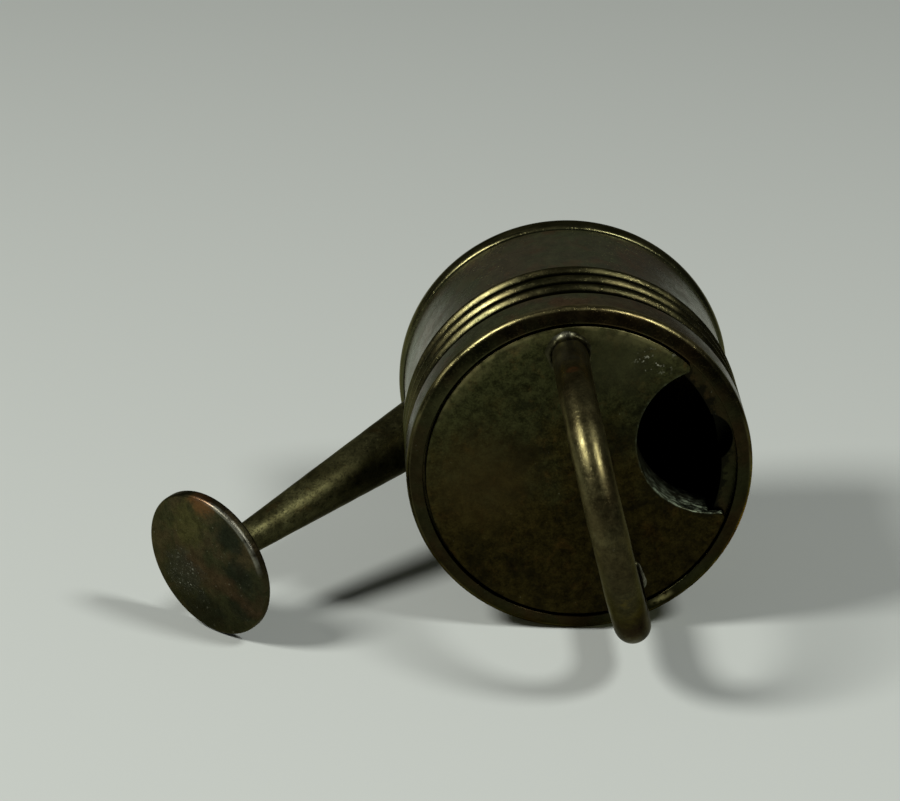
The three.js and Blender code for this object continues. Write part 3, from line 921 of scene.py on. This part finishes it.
def rod_heat_marks(graph, tone):
    """Flux and a copper spot, left by soldering the foot on -Y."""
    flux = graph.times(
        graph.step(graph.y, -11.0, -11.8), graph.step(graph.z, 31, 29),
        graph.step(graph.noise(1.1, 4, 0.6), 0.35, 0.6, 0.2, 1))
    tone = graph.mix(graph.times(flux, 0.6), tone, FLUX)
    copper_distance = graph.distance(graph.place, COPPER_SPOT)
    tone = graph.mix(graph.times(graph.step(copper_distance, 4.5, 1.2), 0.3), tone, HEATED_BROWN)
    copper = graph.times(
        graph.step(copper_distance, 0.8, 0.3), graph.step(graph.noise(1.5, 4, 0.6), 0.30, 0.50))
    return graph.mix(graph.times(copper, 0.7), tone, COPPER)


def rod_material():
    graph = Graph("rod_brass")
    tone = rod_heat_marks(graph, rod_tarnish_and_painted_light(graph))
    tone = graph.mix(graph.times(flecks(graph, 2.2, 0.70), 0.5), tone, PALE_DIRT)
    roughness = varied_roughness(graph, 0.8, 0.27, 0.40)
    edge_tint = graph.mix(graph.step(graph.y, 2, 8, 0, 0.5), TARNISHED_EDGE, DIRTY_EDGE)
    return graph.finish(tone, roughness, surface_detail(graph, 0.012), 0.95, edge_tint)


def spout_material():
    """Olive, with painted light and shade: pale on the side that lies upwards, dark underneath and darker
    towards its root; with soot in its pits.
    """
    graph = Graph("spout_brass")
    clouds = graph.step(graph.noise(0.25, 5, 0.6, 0.3), 0.38, 0.62)
    tone = mottled(graph, graph.mix(clouds, SPOUT_PALE, SPOUT_OLIVE), 1.4, 0.40)
    # painted shade: dark underneath, on +Y, and darker towards the root; paler on the side that lies
    # upwards
    tone = graph.scaled(tone, graph.step(graph.y, -0.8, 1.3, 1.15, 0.35))
    tone = graph.scaled(tone, graph.step(graph.x, 16, 22, 0.75, 1.05))
    tone = graph.mix(graph.times(flecks(graph, 3.2, 0.55), 0.5), tone, SOOT_AND_SHADE)
    tone = graph.mix(graph.times(flecks(graph, 0.5, 0.60), 0.3), tone, RUST)
    return graph.finish(tone, varied_roughness(graph, 1.2, 0.36, 0.54), surface_detail(graph, 0.04), 0.95)


# ---------------- the rose's material
def rose_place(across, up):
    """A point on the rose's face, in millimetres across and up from its middle."""
    return ROSE_CENTRE + Vector((0, across, 0)) + ROSE_UP * up + SPOUT_DIRECTION * ROSE_THICKNESS / 2


def rose_band(graph):
    """A mask of a ragged diagonal band over the face's lower right."""
    across = Vector((0, 0.8, 0)) - ROSE_UP * 0.6
    middle = rose_place(-0.6, -0.9).dot(across)
    from_band = graph.math("SUBTRACT", graph.dot(graph.place, across), middle)
    ragged = graph.math("ADD", from_band, graph.uneven(5, 0.35, 5, 0.65))
    return graph.times(graph.near(ragged, 0, 1.6), graph.step(graph.y, -3, 0))


def rose_patches_and_shade(graph, grey):
    """Yellow, dark green, red-brown and grey patches on the face, with painted shade that darkens it
    towards +Y.
    """
    clouds = graph.step(graph.noise(0.30, 6, 0.7, 0.5), 0.40, 0.60)
    tone = graph.mix(clouds, ROSE_GREEN, ROSE_BROWN)
    yellow = ragged_patch(graph, rose_place(-4.0, -0.8), 3.0)
    tone = graph.mix(graph.times(yellow, 0.7), tone, ROSE_YELLOW)
    dark_green = graph.most(
        ragged_patch(graph, rose_place(-3.2, 4.2), 2.0), ragged_patch(graph, rose_place(0.4, 4.4), 2.2),
        ragged_patch(graph, rose_place(3.4, 3.4), 1.8), ragged_patch(graph, rose_place(4.6, -1.6), 3.2))
    tone = graph.mix(graph.times(dark_green, 0.8), tone, ROSE_DARK_GREEN)
    tone = graph.mix(graph.times(rose_band(graph), 0.7), tone, ROSE_RED_BROWN)
    tone = graph.mix(graph.times(grey, 0.7), tone, ROSE_GREY)
    tone = mottled(graph, tone, 1.3, 0.45)
    # painted shade: darker towards +Y
    return graph.scaled(tone, graph.step(graph.y, -6, 6, 0.95, 0.62))


def rose_edge_rubbed_and_highlit(graph):
    """A mask of the face's upper front edge, rubbed bright: partly wear, partly a painted highlight."""
    from_middle = graph.vector("SUBTRACT", graph.place, ROSE_CENTRE)
    radius = graph.vector("LENGTH", graph.vector("CROSS_PRODUCT", from_middle, SPOUT_DIRECTION))
    return graph.times(
        graph.step(radius, ROSE_RADIUS - 0.35, ROSE_RADIUS - 0.15),
        graph.step(graph.dot(from_middle, SPOUT_DIRECTION), 0.12, 0.24),
        graph.step(graph.dot(from_middle, ROSE_UP), 0.5, 2.5),
        graph.step(graph.y, 0.5, -1.5),
        graph.step(graph.noise(0.8, 4, 0.6), 0.35, 0.55, 0.2, 1))


def rose_material():
    graph = Graph("rose_brass")
    grey = ragged_patch(graph, rose_place(1.0, -2.6), 3.0)
    tone = rose_patches_and_shade(graph, grey)
    # partly rubbed, partly a painted highlight on the face's upper front edge
    tone = graph.mix(graph.times(rose_edge_rubbed_and_highlit(graph), 0.6), tone, ROSE_RUBBED_AND_HIGHLIT)
    tone = graph.mix(graph.times(ragged_patch(graph, ROSE_COPPER_PLACE, 1.7), 0.45), tone, COPPER)
    specks = graph.times(grey, graph.step(graph.noise(4.2, 4, 0.65), 0.59, 0.68), 0.5)
    tone = graph.mix(graph.most(specks, graph.times(flecks(graph, 2.8, 0.66), 0.5)), tone, PALE_DIRT)
    metallic = graph.step(specks, 0, 0.6, 0.95, 0)
    return graph.finish(tone, varied_roughness(graph, 0.8, 0.30, 0.48), surface_detail(graph), metallic)


# ---------------- the solder's material
def solder_material():
    """Dull grey; pale on the -Y side of the handle's first foot, a painted highlight; rubbed pale at the
    rose; and a pale, dull paste at the second foot, partly flux, partly a painted highlight.
    """
    graph = Graph("solder_grey")
    # the -Y side of the first foot and the pale paste at the second foot are painted highlights
    pasty_and_highlit = graph.times(graph.step(graph.y, 7, 8), graph.step(graph.x, -2.9, -3.3))
    rubbed_and_highlit = graph.most(
        graph.step(graph.y, -12.3, -12.9), pasty_and_highlit, graph.times(graph.step(graph.x, 20, 21), 0.5))
    rubbed_and_highlit = graph.times(rubbed_and_highlit, graph.step(graph.noise(1.3, 5, 0.65), 0.35, 0.6, 0.3, 1))
    tone = graph.mix(rubbed_and_highlit, mottled(graph, SOLDER_GREY, 1.2, 0.4), SOLDER_RUBBED_AND_HIGHLIT)
    roughness = varied_roughness(graph, 2, 0.28, 0.45, detail=4)
    return graph.finish(tone, roughness, surface_detail(graph), graph.step(pasty_and_highlit, 0, 1, 1, 0.3))


# ---------------- cloth, light and camera
FLOOR_TURN = math.radians(-14.4)  # how far the can has rolled on its side, about its axis
UP_FROM_CLOTH = Vector((math.sin(FLOOR_TURN), -math.cos(FLOOR_TURN), 0))
FLOOR_SIZE = 1600
LIGHT_DISTANCE = 600
WARM_WHITE = (1.0, 0.99, 0.96)
NEUTRAL_WHITE = (1.0, 1.0, 0.98)
CAMERA_TARGET = Vector((10.06, -4.09, 10.95))
CAMERA_ANGLES = (-21.154, -2.180, 166.687)
CAMERA_DISTANCE = 356.1
CAMERA_LENS = 160
SENSOR_WIDTH = 36


def cloth_material():
    """Plain pale cloth. From behind, the camera sees through it, and light doesn't."""
    material = bpy.data.materials.new("pale_cloth")
    material.use_nodes = True
    tree = material.node_tree
    tree.nodes.clear()
    cloth = tree.nodes.new("ShaderNodeBsdfPrincipled")
    cloth.inputs["Base Color"].default_value = CLOTH
    cloth.inputs["Roughness"].default_value = 0.95
    cloth.inputs["Specular IOR Level"].default_value = 0.1
    clear = tree.nodes.new("ShaderNodeBsdfTransparent")
    facing = tree.nodes.new("ShaderNodeNewGeometry")
    rays = tree.nodes.new("ShaderNodeLightPath")
    seen_from_behind = tree.nodes.new("ShaderNodeMath")
    seen_from_behind.operation = "MULTIPLY"
    tree.links.new(facing.outputs["Backfacing"], seen_from_behind.inputs[0])
    tree.links.new(rays.outputs["Is Camera Ray"], seen_from_behind.inputs[1])
    choose = tree.nodes.new("ShaderNodeMixShader")
    tree.links.new(seen_from_behind.outputs[0], choose.inputs["Fac"])
    tree.links.new(cloth.outputs["BSDF"], choose.inputs[1])
    tree.links.new(clear.outputs["BSDF"], choose.inputs[2])
    output = tree.nodes.new("ShaderNodeOutputMaterial")
    tree.links.new(choose.outputs["Shader"], output.inputs["Surface"])
    return material


def build_floor():
    """The cloth's plane, which touches the wall of the can."""
    mesh = bpy.data.meshes.new("cloth_floor")
    half = FLOOR_SIZE / 2 * MM
    corners = [(-half, -half, 0), (half, -half, 0), (half, half, 0), (-half, half, 0)]
    mesh.from_pydata(corners, [], [(0, 1, 2, 3)])
    mesh.materials.append(cloth_material())
    floor = bpy.data.objects.new("cloth_floor", mesh)
    bpy.context.scene.collection.objects.link(floor)
    floor.rotation_mode = "QUATERNION"
    floor.rotation_quaternion = UP_FROM_CLOTH.to_track_quat("Z", "Y")
    floor.location = -UP_FROM_CLOTH * BODY_RADIUS * MM
    return floor


def soft_light(name, direction, size, power, colour):
    """A round area light in a direction from the part's base, turned towards it."""
    data = bpy.data.lights.new(name, "AREA")
    data.shape = "DISK"
    data.size = size * MM
    data.energy = power
    data.color = colour
    light = bpy.data.objects.new(name, data)
    bpy.context.scene.collection.objects.link(light)
    direction = Vector(direction).normalized()
    light.location = direction * LIGHT_DISTANCE * MM
    light.rotation_mode = "QUATERNION"
    light.rotation_quaternion = direction.to_track_quat("Z", "Y")
    light.visible_camera = False
    return light


def all_but(name, left_out):
    """A light linking group that stands for every object but those left out."""
    group = bpy.data.collections.new(name)
    for left in left_out:
        group.objects.link(left)
    for entry in group.collection_objects:
        entry.light_linking.link_state = "EXCLUDE"
    return group


def build_lights():
    """Two windows on the side that the can is seen from."""
    soft_light("window_left", (0.487, -0.858, 0.30), 175, 2.25, WARM_WHITE)
    soft_light("window_right", (-0.70, -0.706, 0.45), 145, 1.40, NEUTRAL_WHITE)


def build_back_light(floor, unlit):
    """A weak light behind the floor, which casts no shadow in it, for views of the back."""
    fill = soft_light("room_behind", (-0.45, 0.68, -0.40), 320, 2.0, WARM_WHITE)
    fill.light_linking.blocker_collection = all_but("casts_shadow", [floor])
    fill.light_linking.receiver_collection = all_but("lit_from_behind", unlit)


def build_world():
    """A dim room, which looks paler where the camera sees it."""
    world = bpy.data.worlds.new("room")
    bpy.context.scene.world = world
    world.use_nodes = True
    tree = world.node_tree
    tree.nodes.clear()
    rays = tree.nodes.new("ShaderNodeLightPath")
    seen = tree.nodes.new("ShaderNodeBackground")
    seen.inputs["Color"].default_value = ROOM_SEEN
    light = tree.nodes.new("ShaderNodeBackground")
    light.inputs["Color"].default_value = ROOM_LIGHT
    choose = tree.nodes.new("ShaderNodeMixShader")
    tree.links.new(rays.outputs["Is Camera Ray"], choose.inputs["Fac"])
    tree.links.new(light.outputs[0], choose.inputs[1])
    tree.links.new(seen.outputs[0], choose.inputs[2])
    output = tree.nodes.new("ShaderNodeOutputWorld")
    tree.links.new(choose.outputs[0], output.inputs["Surface"])


def build_camera():
    data = bpy.data.cameras.new("view")
    data.lens = CAMERA_LENS
    data.sensor_width = SENSOR_WIDTH
    data.clip_start, data.clip_end = 0.01, 10
    camera = bpy.data.objects.new("view", data)
    bpy.context.scene.collection.objects.link(camera)
    camera.rotation_euler = [math.radians(a) for a in CAMERA_ANGLES]
    back = camera.rotation_euler.to_matrix() @ Vector((0, 0, 1))
    camera.location = (CAMERA_TARGET + back * CAMERA_DISTANCE) * MM
    bpy.context.scene.camera = camera


# ---------------- build
plate_brass = plate_material()
solder_grey = solder_material()
build_body(body_material())
build_base(plate_brass)
build_top_plate(plate_brass)
handle = build_handle(rod_material())
build_handle_solder(-1, "handle_solder_right", solder_grey)
build_handle_solder(1, "handle_solder_left", solder_grey)
spout = build_spout(spout_material())
build_spout_solder(solder_grey)
rose = build_rose(rose_material())
build_rose_solder(solder_grey)
build_lights()
build_back_light(build_floor(), [handle, spout, rose])
build_world()
build_camera()
bpy.context.scene.view_settings.view_transform = "Standard"  # shows the colours as they are set
